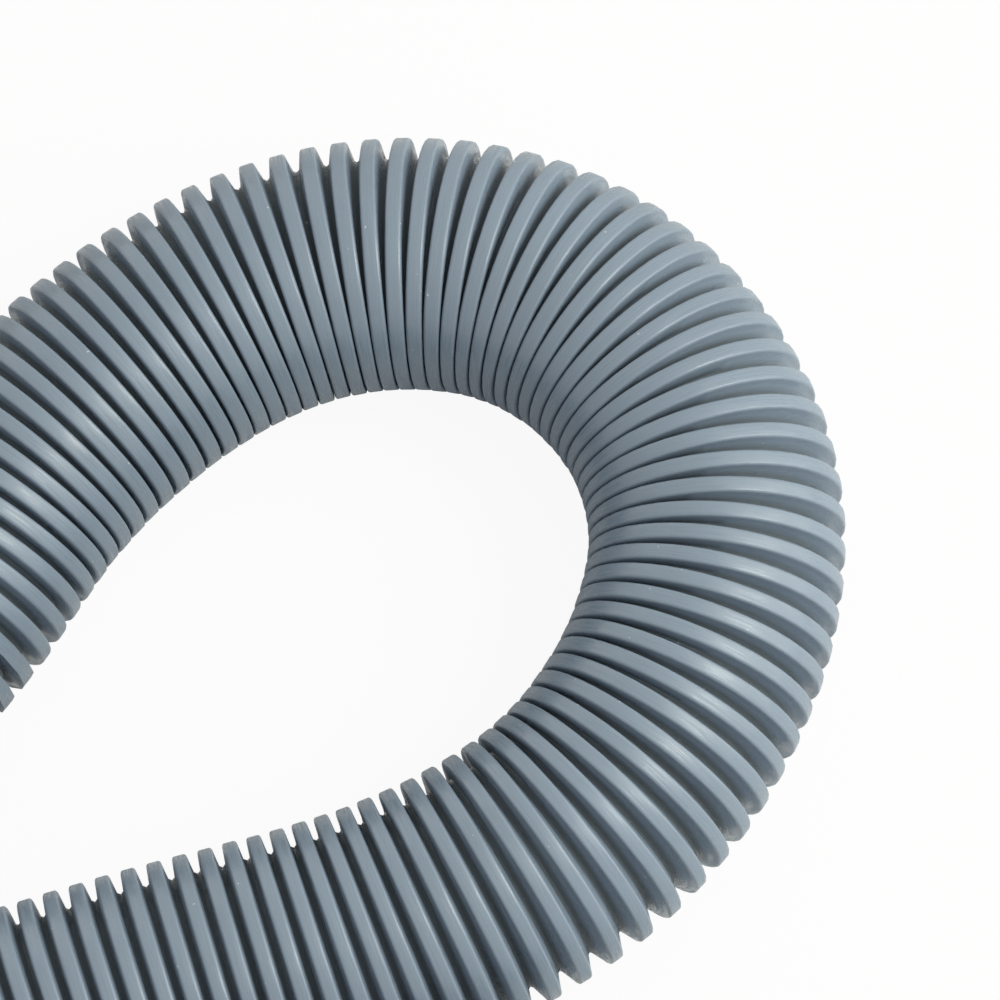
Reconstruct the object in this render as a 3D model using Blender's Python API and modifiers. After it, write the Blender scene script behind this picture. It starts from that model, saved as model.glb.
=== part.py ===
"""Dishwasher drain hose extension, 1.5 m end to end: a corrugated blown hose with two soft push-on cuffs,
lying on a floor as it is stored. One bight of the hose stands out past the coil, and two cable ties hold
the coil closed. The hose is laid here as a plain tube of its outer diameter.

Units are metres and +Z is up. The origin is on the floor, under the middle of the object's box.
"""

import math

import bmesh
import bpy
from mathutils import Matrix, Vector

OBJECT_NAME = "drain_hose_extension"

# The hose
HOSE_DIAMETER = 0.026
HOSE_RADIUS = HOSE_DIAMETER / 2
FINEST_STEP = 0.008
COARSEST_STEP = 0.022
STEP_PER_BEND_RADIUS = 0.25
END_STUB = 0.003
MEETING_GAP = 0.0003

# The coil: one turn, which hangs below the line that the run comes in on, with a strand outside it and
# the last stretch inside it, each a strand's spacing away
COIL_RADIUS = 0.140
COIL_TOP = 0.1065
COIL_CENTRE = Vector((0.014, COIL_TOP - COIL_RADIUS))
STRAND_GAP = 0.0015
STRAND_SPACING = HOSE_DIAMETER + STRAND_GAP
OUTER_RADIUS = COIL_RADIUS + STRAND_SPACING
OUTER_STRAND_ANGLES = [166, 153, 140, 128, 116, 105]
INNER_BEND_OFFSET = 0.038
INNER_BEND_RADIUS = COIL_RADIUS - STRAND_SPACING / 2 - INNER_BEND_OFFSET**2 / (2 * STRAND_SPACING)
INNER_LINE = COIL_TOP - STRAND_SPACING
INNER_BEND_CENTRE = Vector((COIL_CENTRE.x + INNER_BEND_OFFSET, INNER_LINE - INNER_BEND_RADIUS))
INNER_STRAIGHT = 0.010
COIL_POINTS = 26
INNER_POINTS = 6

# The cuffs, whose walls leave a 19 mm socket at the machine and a 22 mm socket at the drain
CUFF_LENGTH = 0.040
CUFF_COLLAR_OVER_HOSE = 0.0005
CUFF_COLLAR_RADIUS = HOSE_RADIUS + CUFF_COLLAR_OVER_HOSE
CUFF_COLLAR_LENGTH = 0.012
CUFF_COLLAR_STEP = 0.0008
CUFF_BODY_RADIUS = CUFF_COLLAR_RADIUS - CUFF_COLLAR_STEP
CUFF_BEAD_LENGTH = 0.004
CUFF_CHAMFER = 0.0007
CUFF_SOCKET_DEPTH = 0.028
CUFF_NECK_WALL = 0.0047
CUFF_NECK_RADIUS = CUFF_BODY_RADIUS - CUFF_NECK_WALL
MACHINE_SOCKET_WALL = 0.0032
MACHINE_SOCKET_RADIUS = CUFF_BODY_RADIUS - MACHINE_SOCKET_WALL
DRAIN_SOCKET_WALL = 0.0017
DRAIN_SOCKET_RADIUS = CUFF_BODY_RADIUS - DRAIN_SOCKET_WALL
CUFF_SIDES = 48

# The ties
TIE_THICKNESS = 0.0009
TIE_WIDTH = 0.0048
TIE_CLEARANCE = 0.0006
TIE_HEAD_SIZE = (0.0085, 0.0066, 0.0046)
TIE_HEAD_SINK = 0.0005
TIE_HEAD_ROUNDING = 0.0005
TIE_ARC_POINTS = 17
LIFT_AT_TIE = TIE_THICKNESS + TIE_CLEARANCE
LIFT_FLAT = 0.022
LIFT_REACH = 0.062
TIE_MID_HEIGHT = HOSE_RADIUS + LIFT_AT_TIE
SIDE_TIE_ANGLE = math.radians(154)
TOP_TIE_PLACE = Vector((0.048, COIL_TOP - STRAND_SPACING / 2))

# Route points in plan, set by eye, but for the bight, which is the stretch that the photograph shows.
# The machine end's are counted from the outer strand's leftmost point.
MACHINE_END_STEPS = [(0.0, 0.0050), (0.0001, 0.0140), (0.0008, 0.0230)]
MACHINE_END = [(COIL_CENTRE.x - OUTER_RADIUS + x, COIL_CENTRE.y + y) for x, y in MACHINE_END_STEPS]
APPROACH = [
    (-0.0080, 0.1326), (0.0130, 0.1349), (0.0330, 0.1382), (0.0490, 0.1424),
    (0.0628, 0.1473), (0.0743, 0.1538),
]
BIGHT = [
    (0.0852, 0.1623), (0.0966, 0.1686), (0.1089, 0.1726), (0.1218, 0.1734),
    (0.1334, 0.1704), (0.1430, 0.1642), (0.1497, 0.1549), (0.1527, 0.1439),
    (0.1514, 0.1325), (0.1460, 0.1224), (0.1380, 0.1143), (0.1281, 0.1085),
    (0.1165, 0.1055), (0.1040, 0.1047), (0.0910, 0.1054), (0.0770, 0.1062),
]
RUN_IN = [(0.0520, COIL_TOP), (0.0330, COIL_TOP)]
DRAIN_END = (INNER_BEND_CENTRE.x - INNER_STRAIGHT, INNER_LINE)

SLATE = (0.235, 0.285, 0.325, 1.0)
SLATE_DARK = (0.190, 0.232, 0.268, 1.0)
TIE_WHITE = (0.780, 0.780, 0.750, 1.0)


def clear_scene():
    """Removes every object, so that the script can be run again."""
    for old in list(bpy.data.objects):
        bpy.data.objects.remove(old, do_unlink=True)


def new_collection(name):
    """A collection of this name in the scene."""
    collection = bpy.data.collections.new(name)
    bpy.context.scene.collection.children.link(collection)
    return collection


def plastic(name, color, roughness):
    """A Principled material of one plastic."""
    material = bpy.data.materials.new(name)
    material.use_nodes = True
    shader = material.node_tree.nodes["Principled BSDF"]
    shader.inputs["Base Color"].default_value = color
    shader.inputs["Roughness"].default_value = roughness
    return material


def on_circle(centre, radius, angle):
    """The point of a circle in plan at this angle."""
    return (centre.x + radius * math.cos(angle), centre.y + radius * math.sin(angle))


def outer_strand():
    """The machine end's stretch, round the outside of the coil."""
    return [on_circle(COIL_CENTRE, OUTER_RADIUS, math.radians(angle)) for angle in OUTER_STRAND_ANGLES]


def coil_turn():
    """The coil's turn, from its top round to where the inner bend leaves it, and the inner bend."""
    offset = INNER_BEND_CENTRE - COIL_CENTRE
    leave = 2 * math.pi + math.atan2(offset.y, offset.x)
    start = math.pi / 2
    points = []
    for i in range(COIL_POINTS):
        angle = start + (leave - start) * i / (COIL_POINTS - 1)
        points.append(on_circle(COIL_CENTRE, COIL_RADIUS, angle))
    end = 2 * math.pi + start
    for i in range(1, INNER_POINTS):
        angle = leave + (end - leave) * i / (INNER_POINTS - 1)
        points.append(on_circle(INNER_BEND_CENTRE, INNER_BEND_RADIUS, angle))
    return points


def route_points():
    """Every point that the hose passes through in plan, from the machine end to the drain end."""
    points = MACHINE_END + outer_strand() + APPROACH + BIGHT + RUN_IN + coil_turn() + [DRAIN_END]
    return [Vector(point) for point in points]


def spline_bends(points, spans):
    """The natural cubic spline's second derivative at each point, by elimination down its three-term rows."""
    count = len(points)
    factor = [0.0] * count
    value = [Vector((0.0, 0.0)) for _ in points]
    for i in range(1, count - 1):
        before, after = spans[i - 1], spans[i]
        jump = (points[i + 1] - points[i]) / after - (points[i] - points[i - 1]) / before
        pivot = 2 * (before + after) - before * factor[i - 1]
        factor[i] = after / pivot
        value[i] = (6 * jump - before * value[i - 1]) / pivot
    bends = [Vector((0.0, 0.0)) for _ in points]
    for i in range(count - 2, 0, -1):
        bends[i] = value[i] - factor[i] * bends[i + 1]
    return bends


def smooth_curve(points):
    """A function of the distance along the chords that gives the place and second derivative there."""
    spans = [(after - before).length for before, after in zip(points, points[1:])]
    bends = spline_bends(points, spans)
    length = sum(spans)

    def at(distance):
        i = 0
        while i < len(spans) - 1 and distance > spans[i]:
            distance -= spans[i]
            i += 1
        span = spans[i]
        near, far = distance, span - distance
        place = (bends[i] * far**3 + bends[i + 1] * near**3) / (6 * span)
        place += (points[i] / span - bends[i] * span / 6) * far
        place += (points[i + 1] / span - bends[i + 1] * span / 6) * near
        return place, (bends[i] * far + bends[i + 1] * near) / span

    return at, length


def tie_places():
    """The middle of each tie in plan, and the direction across its two strands."""
    side = on_circle(COIL_CENTRE, COIL_RADIUS + STRAND_SPACING / 2, SIDE_TIE_ANGLE)
    return [(Vector(side), SIDE_TIE_ANGLE), (TOP_TIE_PLACE, math.pi / 2)]


def centre_height(place):
    """How high the hose's centre is: on the floor, and a little higher on a tie's strap or by a fat cuff."""
    props = [(tie, LIFT_AT_TIE) for tie, _ in tie_places()]
    props.append((Vector(MACHINE_END[0]), CUFF_COLLAR_RADIUS - HOSE_RADIUS))
    lift = 0.0
    for prop, height in props:
        share = (LIFT_REACH - (place - prop).length) / (LIFT_REACH - LIFT_FLAT)
        share = min(max(share, 0.0), 1.0)
        lift = max(lift, height * share * share * (3 - 2 * share))
    return HOSE_RADIUS + lift


def hose_line():
    """The hose's centre line, closer in its points where it bends more, with a straight stub at each end."""
    at, length = smooth_curve(route_points())
    distances, distance = [0.0], END_STUB
    while distance < length - END_STUB - FINEST_STEP:
        distances.append(distance)
        step = STEP_PER_BEND_RADIUS / max(at(distance)[1].length, 1e-6)
        distance += min(max(step, FINEST_STEP), COARSEST_STEP)
    distances += [length - END_STUB, length]
    places = [at(distance)[0] for distance in distances]
    return [Vector((place.x, place.y, centre_height(place))) for place in places]


def make_hose(collection, material):
    """The hose as a plain tube along its route, with its two ends closed."""
    line = hose_line()
    curve = bpy.data.curves.new("hose", "CURVE")
    curve.dimensions = "3D"
    curve.bevel_depth = HOSE_RADIUS
    curve.bevel_resolution = 4
    curve.use_fill_caps = True
    curve.materials.append(material)
    spline = curve.splines.new("POLY")
    spline.points.add(len(line) - 1)
    for point, place in zip(spline.points, line):
        point.co = (place.x, place.y, place.z, 1.0)
    hose = bpy.data.objects.new("hose", curve)
    collection.objects.link(hose)
    return hose


def cuff_profile(socket_radius):
    """The cuff's closed section as (radius, height) pairs, from its back to its mouth and back inside."""
    bead_start = CUFF_LENGTH - CUFF_BEAD_LENGTH
    step = CUFF_COLLAR_RADIUS - CUFF_BODY_RADIUS
    socket_floor = CUFF_LENGTH - CUFF_SOCKET_DEPTH
    return [
        (CUFF_NECK_RADIUS, 0.0),
        (CUFF_COLLAR_RADIUS - CUFF_CHAMFER, 0.0),
        (CUFF_COLLAR_RADIUS, CUFF_CHAMFER),
        (CUFF_COLLAR_RADIUS, CUFF_COLLAR_LENGTH),
        (CUFF_BODY_RADIUS, CUFF_COLLAR_LENGTH + step),
        (CUFF_BODY_RADIUS, bead_start - step),
        (CUFF_COLLAR_RADIUS, bead_start),
        (CUFF_COLLAR_RADIUS, CUFF_LENGTH - CUFF_CHAMFER),
        (CUFF_COLLAR_RADIUS - CUFF_CHAMFER, CUFF_LENGTH),
        (socket_radius + CUFF_CHAMFER, CUFF_LENGTH),
        (socket_radius, CUFF_LENGTH - CUFF_CHAMFER),
        (socket_radius, socket_floor),
        (CUFF_NECK_RADIUS, socket_floor - (socket_radius - CUFF_NECK_RADIUS)),
    ]


def make_cuff(name, collection, material, socket_radius, back, heading):
    """A cuff turned about its own Z axis, then laid down with that axis along its heading."""
    mesh = bpy.data.meshes.new(name)
    profile = [(radius, 0.0, height) for radius, height in cuff_profile(socket_radius)]
    edges = [(i, (i + 1) % len(profile)) for i in range(len(profile))]
    mesh.from_pydata(profile, edges, [])
    mesh.materials.append(material)
    cuff = bpy.data.objects.new(name, mesh)
    screw = cuff.modifiers.new("turn", "SCREW")
    screw.steps = screw.render_steps = CUFF_SIDES
    screw.use_merge_vertices = True
    screw.merge_threshold = 1e-5
    screw.use_normal_calculate = True
    cuff.rotation_euler = heading.to_track_quat("Z", "Y").to_euler()
    cuff.location = back
    collection.objects.link(cuff)
    return cuff


def add_ring_outline(curve, radius):
    """One closed outline of a strap round two strands: two half circles and the flats between them."""
    half = STRAND_SPACING / 2
    points = []
    for side in (1, -1):
        for i in range(TIE_ARC_POINTS):
            angle = side * (-math.pi / 2 + math.pi * i / (TIE_ARC_POINTS - 1))
            points.append((side * (half + radius * math.cos(angle)), radius * math.sin(angle)))
    spline = curve.splines.new("POLY")
    spline.points.add(len(points) - 1)
    for point, (x, y) in zip(spline.points, points):
        point.co = (x, y, 0.0, 1.0)
    spline.use_cyclic_u = True


def strap_mesh(name):
    """The strap: an outline with a hole in it, given its width, and stood upright across the strands."""
    curve = bpy.data.curves.new(name, "CURVE")
    curve.dimensions = "2D"
    curve.fill_mode = "BOTH"
    curve.extrude = TIE_WIDTH / 2
    inner = HOSE_RADIUS + TIE_CLEARANCE
    add_ring_outline(curve, inner + TIE_THICKNESS)
    add_ring_outline(curve, inner)
    holder = bpy.data.objects.new(name, curve)
    bpy.context.scene.collection.objects.link(holder)
    bpy.context.view_layer.update()
    flat = holder.evaluated_get(bpy.context.evaluated_depsgraph_get())
    mesh = bpy.data.meshes.new_from_object(flat)
    bpy.data.objects.remove(holder)
    built = bmesh.new()
    built.from_mesh(mesh)
    bmesh.ops.remove_doubles(built, verts=built.verts, dist=1e-6)
    bmesh.ops.rotate(built, verts=built.verts, matrix=Matrix.Rotation(math.pi / 2, 3, "X"))
    bmesh.ops.recalc_face_normals(built, faces=built.faces)
    built.to_mesh(mesh)
    built.free()
    return mesh


def make_tie(name, collection, cutters, material, place, across):
    """A cable tie round two strands, with its head on top."""
    mesh = strap_mesh(name)
    mesh.materials.clear()
    mesh.materials.append(material)
    tie = bpy.data.objects.new(name, mesh)
    tie.location = (place.x, place.y, TIE_MID_HEIGHT)
    tie.rotation_euler = (0.0, 0.0, across)
    collection.objects.link(tie)

    bpy.ops.mesh.primitive_cube_add(size=1.0)
    head = bpy.context.object
    head.name = name + "_head"
    head.data.transform(Matrix.Diagonal((*TIE_HEAD_SIZE, 1.0)))
    bevel = head.modifiers.new("rounding", "BEVEL")
    bevel.width = TIE_HEAD_ROUNDING
    bevel.segments = 2
    top = HOSE_RADIUS + TIE_CLEARANCE + TIE_THICKNESS
    head.parent = tie
    head.location = (0.0, 0.0, top - TIE_HEAD_SINK + TIE_HEAD_SIZE[2] / 2)
    head.hide_render = True
    for old in list(head.users_collection):
        old.objects.unlink(head)
    cutters.objects.link(head)

    union = tie.modifiers.new("head", "BOOLEAN")
    union.operation = "UNION"
    union.solver = "EXACT"
    union.object = head
    return tie


def main():
    clear_scene()
    parts = new_collection(OBJECT_NAME)
    cutters = new_collection("cutters")
    hose_plastic = plastic("hose_plastic", SLATE, 0.42)
    cuff_plastic = plastic("cuff_plastic", SLATE_DARK, 0.55)
    tie_plastic = plastic("tie_plastic", TIE_WHITE, 0.40)

    make_hose(parts, hose_plastic)
    machine = Vector((MACHINE_END[0][0], MACHINE_END[0][1] - MEETING_GAP, CUFF_COLLAR_RADIUS))
    make_cuff("machine_end_cuff", parts, cuff_plastic, MACHINE_SOCKET_RADIUS, machine, Vector((0, -1, 0)))
    drain = Vector((DRAIN_END[0] - MEETING_GAP, DRAIN_END[1], TIE_MID_HEIGHT))
    make_cuff("drain_end_cuff", parts, cuff_plastic, DRAIN_SOCKET_RADIUS, drain, Vector((-1, 0, 0)))
    for name, (place, across) in zip(("side_coil_tie", "top_coil_tie"), tie_places()):
        make_tie(name, parts, cutters, tie_plastic, place, across)


main()
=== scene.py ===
"""Looks of the dishwasher drain hose extension: a corrugated blown hose with two moulded cuffs, coiled and
held by two cable ties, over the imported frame. Units are metres, in the frame's own axes.
"""

import math

import bpy
import numpy as np
from bpy.props import FloatProperty, FloatVectorProperty, PointerProperty
from mathutils import Matrix, Vector


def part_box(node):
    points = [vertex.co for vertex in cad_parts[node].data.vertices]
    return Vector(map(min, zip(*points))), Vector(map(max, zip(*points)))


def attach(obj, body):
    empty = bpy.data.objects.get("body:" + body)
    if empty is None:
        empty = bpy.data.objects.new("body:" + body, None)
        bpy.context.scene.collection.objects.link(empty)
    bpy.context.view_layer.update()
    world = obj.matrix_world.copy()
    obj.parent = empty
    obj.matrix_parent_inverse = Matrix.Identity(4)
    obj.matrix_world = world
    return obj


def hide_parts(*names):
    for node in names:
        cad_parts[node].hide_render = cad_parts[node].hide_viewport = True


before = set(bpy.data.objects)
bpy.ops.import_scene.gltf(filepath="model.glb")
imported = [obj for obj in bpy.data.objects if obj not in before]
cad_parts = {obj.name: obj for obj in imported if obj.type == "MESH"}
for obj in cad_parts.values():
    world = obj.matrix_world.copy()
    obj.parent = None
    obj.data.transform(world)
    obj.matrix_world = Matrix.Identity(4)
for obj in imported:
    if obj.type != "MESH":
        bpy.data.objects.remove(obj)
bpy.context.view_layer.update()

bl_info = {
    "name": "Drain hose extension",
    "version": (1, 0, 0),
    "blender": (4, 5, 0),
    "location": "3D View > Sidebar > Drain Hose",
    "description": "Makes the corrugated hose, its cuffs, its ties and the stage",
    "category": "Add Mesh",
}

BODY = "root"

# The hose's route in plan, with the names and sizes of the part's source
HOSE_DIAMETER = 0.026
HOSE_RADIUS = HOSE_DIAMETER / 2
COIL_RADIUS = 0.140
COIL_TOP = 0.1065
COIL_CENTRE = np.array((0.014, COIL_TOP - COIL_RADIUS))
STRAND_SPACING = HOSE_DIAMETER + 0.0015
OUTER_RADIUS = COIL_RADIUS + STRAND_SPACING
OUTER_STRAND_ANGLES = [166, 153, 140, 128, 116, 105]
INNER_BEND_OFFSET = 0.038
INNER_BEND_RADIUS = COIL_RADIUS - STRAND_SPACING / 2 - INNER_BEND_OFFSET**2 / (2 * STRAND_SPACING)
INNER_LINE = COIL_TOP - STRAND_SPACING
INNER_BEND_CENTRE = np.array((COIL_CENTRE[0] + INNER_BEND_OFFSET, INNER_LINE - INNER_BEND_RADIUS))
INNER_STRAIGHT = 0.010
COIL_POINTS = 26
INNER_POINTS = 6
MACHINE_END_STEPS = [(0.0, 0.0050), (0.0001, 0.0140), (0.0008, 0.0230)]
APPROACH = [
    (-0.0080, 0.1326), (0.0130, 0.1349), (0.0330, 0.1382), (0.0490, 0.1424),
    (0.0628, 0.1473), (0.0743, 0.1538),
]
BIGHT = [
    (0.0852, 0.1623), (0.0966, 0.1686), (0.1089, 0.1726), (0.1218, 0.1734),
    (0.1334, 0.1704), (0.1430, 0.1642), (0.1497, 0.1549), (0.1527, 0.1439),
    (0.1514, 0.1325), (0.1460, 0.1224), (0.1380, 0.1143), (0.1281, 0.1085),
    (0.1165, 0.1055), (0.1040, 0.1047), (0.0910, 0.1054), (0.0770, 0.1062),
]
RUN_IN = [(0.0520, COIL_TOP), (0.0330, COIL_TOP)]
DRAIN_END = (INNER_BEND_CENTRE[0] - INNER_STRAIGHT, INNER_LINE)
LIFT_FLAT = 0.022
LIFT_REACH = 0.062
HOSE_IN_CUFF = 0.009
LINE_STEP = 0.00025
LINE_SAMPLES = 12000

# Where the cuffs and the ties are, from the frame
MACHINE_CUFF = np.array(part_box("machine_end_cuff"))
DRAIN_CUFF = np.array(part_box("drain_end_cuff"))
TIES = {name: np.array(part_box(name)) for name in ("side_coil_tie", "top_coil_tie")}
CUFF_COLLAR_RADIUS = (MACHINE_CUFF[1, 2] - MACHINE_CUFF[0, 2]) / 2
CUFF_LENGTH = MACHINE_CUFF[1, 1] - MACHINE_CUFF[0, 1]
TIE_LIFT = DRAIN_CUFF[:, 2].mean() - HOSE_RADIUS
SIDE_TIE_ANGLE = math.radians(154)

# The rib spacing on the stretch that the photograph shows, by distance from the bight's first point. It
# opens a little where the bight has been stretched, past its tightest bend. One groove lies at
# FIRST_SEEN_GROOVE, and the rings are fine over SEEN_REACH.
SEEN_PITCH = [
    (0.000, 0.00258), (0.040, 0.00249), (0.070, 0.00251), (0.105, 0.00252), (0.125, 0.00270),
    (0.131, 0.00278), (0.137, 0.00304), (0.146, 0.00269), (0.160, 0.00259),
]
FIRST_SEEN_GROOVE = -0.0006
SEEN_REACH = (-0.014, 0.197)

# How far the ribs stand askew on the same stretch, in degrees anticlockwise seen from above
SEEN_LEAN = [
    (-0.030, 0.0), (-0.004, 1.0), (0.022, 1.3), (0.044, 0.8), (0.060, -0.9), (0.092, -1.7),
    (0.110, -0.7), (0.130, -0.4), (0.140, 0.4), (0.156, 2.2), (0.183, 2.2), (0.210, 0.0),
]

# The crests' width there, as a share of the plain crest's
SEEN_CREST = [(-0.014, 1.0), (0.115, 1.0), (0.145, 0.92), (0.165, 0.90), (0.200, 0.90)]

# How much single ribs differ in height and in width
RIB_HEIGHT_DIFFERENCE = 0.00003
RIB_WIDTH_DIFFERENCE = 0.00003
RIB_SEED = 11

# Where the ribs touch in a tight bend: on its inner side, TOUCH_BELOW under the level. They start to at the
# first cosine of the angle from there and at the first bend, in radians a metre, and do fully at the second.
TOUCH_BELOW = math.radians(48)
TOUCH_COSINES = (0.80, 0.93)
TOUCH_BENDS = (7.0, 12.0)
TOUCH_GAP = 0.00001
TOUCH_DEPTH = 0.00045

# A rib's flank from its root to its crest, as rows of share of the way from the crest's edge to the root,
# share of the root's half width, inset from the crest's edge, and depth below the crest. The middle of the
# root is one more row.
SEEN_FLANK = [
    (1.0, 1.0, 0.0, 0.00198), (0.0, 0.0, 0.0, 0.00036), (0.0, 0.0, 0.00005, 0.00018),
    (0.0, 0.0, 0.00012, 0.000075), (0.0, 0.0, 0.00022, 0.000015), (0.0, 0.0, 0.00034, 0.0),
]
SEEN_ROOT = (1.0, 0.0, 0.0, 0.00220)
PLAIN_FLANK = [(1.0, 1.0, 0.0, 0.00225), (0.0, 0.0, 0.00006, 0.0)]
SEEN_SIDES = 44
PLAIN_SIDES = SEEN_SIDES // 2

# The least width that a bend leaves a groove, and the root's half width, or less where there is no room
LEAST_GROOVE = 0.00014
ROOT_HALF_WIDTH = 0.00031
MOST_ROOT_SHARE = 0.3

# Inside the cuffs the ribs end in a plain sleeve, and a plain bore runs right through
RIBS_INTO_CUFF = 0.0027
SLEEVE_RADIUS = 0.0115
SLEEVE_GAP = 0.0003
BORE_RADIUS = 0.0096
BORE_STEP = 0.012
MOST_TRIANGLES = 200_000

# The hose's finish: painted shade deepens its colour by the groove's tint between the two depths below the
# crest, where the grooves lie in shade; its streaks run round it, and specks of dust lie where their noise
# passes SPECK_NOISE
SHARPEST_SHADED = math.radians(50)
GROOVE_SHADE_TINT = (0.58, 0.54, 0.48)
CREST_SHADE_DEPTH = 0.0011
GROOVE_SHADE_DEPTH = 0.0022
STREAK_STRETCH = (0.045, 0.045, 1.0)
SPECK_NOISE = (0.885, 0.90)
SPECK_COVER = 0.6
DUST_COLOR = (0.75, 0.77, 0.78, 1.0)

# The cuffs' turned section as rows of distance from the back, radius, and size of the corner's rounding: the
# outside from back to mouth with the grooves between its grip rings, then the socket with its sealing ribs,
# and the seat of the hose's end. The socket's rows count their radius from that of the cuff's own socket.
GRIP_GROOVES = [
    (start + along, radius, 0.0002)
    for start in (0.0032, 0.0060, 0.0088)
    for along, radius in ((0.0, 0.01350), (0.0004, 0.01312), (0.0012, 0.01312), (0.0016, 0.01350))
]
CUFF_OUTSIDE = [
    (0.0000, 0.01350, 0.0006), *GRIP_GROOVES, (0.0120, 0.01350, 0.0005), (0.0130, 0.01270, 0.0006),
    (0.0350, 0.01270, 0.0006), (0.0360, 0.01350, 0.0005), (0.0400, 0.01350, 0.0010),
]
SEALING_RIBS = [
    (middle + along, radius, 0.0003)
    for middle in (0.0354, 0.0294)
    for along, radius in ((0.0008, 0.0), (0.0, -0.00045), (-0.0008, 0.0))
]
CUFF_SOCKET = [
    (0.0400, 0.00070, 0.0003), (0.0393, 0.00000, 0.0003), *SEALING_RIBS, (0.0120, 0.00000, 0.0005),
]
CUFF_SEAT = [
    (0.0101, 0.00800, 0.0004), (0.0093, 0.00800, 0.0002), (0.0093, 0.01160, 0.0002),
    (0.0030, 0.01160, 0.0002), (0.0030, 0.01308, 0.0001), (0.0000, 0.01308, 0.0001),
]
CUFF_SIDES = 96

# How a section's corners are rounded: the points on a corner, the most of a side that its rounding takes,
# and how many roundings from the corner the flat stretch beside it starts
CORNER_POINTS = 5
MOST_ROUNDED_SHARE = 0.3
FLAT_REACH = 1.4

# Each cuff's box, the direction in which its mouth faces, and the radius of its socket
CUFFS = {
    "machine_end_cuff": (MACHINE_CUFF, (0.0, -1.0, 0.0), 0.0095),
    "drain_end_cuff": (DRAIN_CUFF, (-1.0, 0.0, 0.0), 0.0110),
}

# The lines where the halves of a cuff's mould met, at the left and right of its section. A line's height is
# SEAM_HEIGHT times SEAM_FULL less SEAM_FALL for each degree from it, kept from 0 to 1. It stops short of the
# ends, and the outside lies less than OUTSIDE_DEPTH under the collar.
SEAM_ANGLES = np.radians((-1.6, -0.9, 0.9, 1.6))
SEAM_HEIGHT = 0.00012
SEAM_FULL = 1.6
SEAM_FALL = 1.1
SEAM_END_GAP = 0.0005
OUTSIDE_DEPTH = 0.0009
SHARPEST_TURNED = math.radians(40)

# The ties: the strap's section as rows of distance from the strand's middle, place across the strap, and
# rounding, then the head's, the tail's and the pawl's rings as rows of half size across the strands and
# along them, and height over the strands' middle
STRAP_SECTION = [
    (0.01318, -0.00240, 0.0002), (0.01450, -0.00240, 0.0003), (0.01450, -0.00165, 0.0001),
    (0.01436, -0.00150, 0.0001), (0.01436, 0.00150, 0.0001), (0.01450, 0.00165, 0.0001),
    (0.01450, 0.00240, 0.0003), (0.01318, 0.00240, 0.0002),
]
STRAP_ARC_POINTS = 25
HEAD_RINGS = [
    (0.00375, 0.00280, 0.01400), (0.00410, 0.00315, 0.01410), (0.00425, 0.00330, 0.01445),
    (0.00425, 0.00330, 0.01600), (0.00425, 0.00330, 0.01810), (0.00414, 0.00319, 0.01846),
    (0.00385, 0.00290, 0.01860), (0.00180, 0.00290, 0.01860), (0.00160, 0.00265, 0.01846),
    (0.00155, 0.00260, 0.01820), (0.00155, 0.00260, 0.01700),
]
TAIL_RINGS = [
    (0.00055, 0.00235, 0.01690), (0.00055, 0.00235, 0.01832), (0.00045, 0.00225, 0.01842),
]
PAWL_RINGS = [
    (0.00050, 0.00160, 0.01690), (0.00050, 0.00160, 0.01790), (0.00025, 0.00150, 0.01815),
]
TAIL_OFFSET = -0.00055
PAWL_OFFSET = 0.00070
RING_SQUARENESS = 8.0
RING_POINTS = 64
TIE_TURNS = {"side_coil_tie": SIDE_TIE_ANGLE, "top_coil_tie": math.pi / 2}

# The camera, from the photograph: it looks down steeply from in front, and the floor direction at
# PICTURE_TURN runs along the picture's width
CAMERA_TARGET = Vector((0.132, 0.1435, HOSE_RADIUS))
CAMERA_FORWARD = Vector((0.0336, 0.3355, -0.9415)).normalized()
PICTURE_TURN = math.radians(-20.5)
CAMERA_DISTANCE = 0.55
SENSOR_WIDTH = 36.0
LENS = 195.4

# The soft boxes: what each is aimed at, its direction from there, its distance and size, and the setting
# that holds its power
BRIGHTEST = Vector((0.165, 0.172, HOSE_RADIUS))
LAMPS = {
    "key": (BRIGHTEST, (0.494, -0.334, 0.802), 0.55, 0.25, "key_power"),
    "wide": (BRIGHTEST, (0.537, -0.201, 0.819), 0.55, 0.5, "wide_power"),
    "right_side": (BRIGHTEST, (0.880, -0.329, 0.342), 0.4, 0.36, "side_power"),
    "back": (CAMERA_TARGET, (-0.392, 0.854, 0.342), 0.8, 0.7, "back_power"),
}
LAMP_COLOR = (1.0, 1.0, 0.92)
FLOOR_HALF = 3.0
FLOOR_SEEN_WHITE = 0.93
NOISE_SPREAD = (0.3, 0.7)


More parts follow.
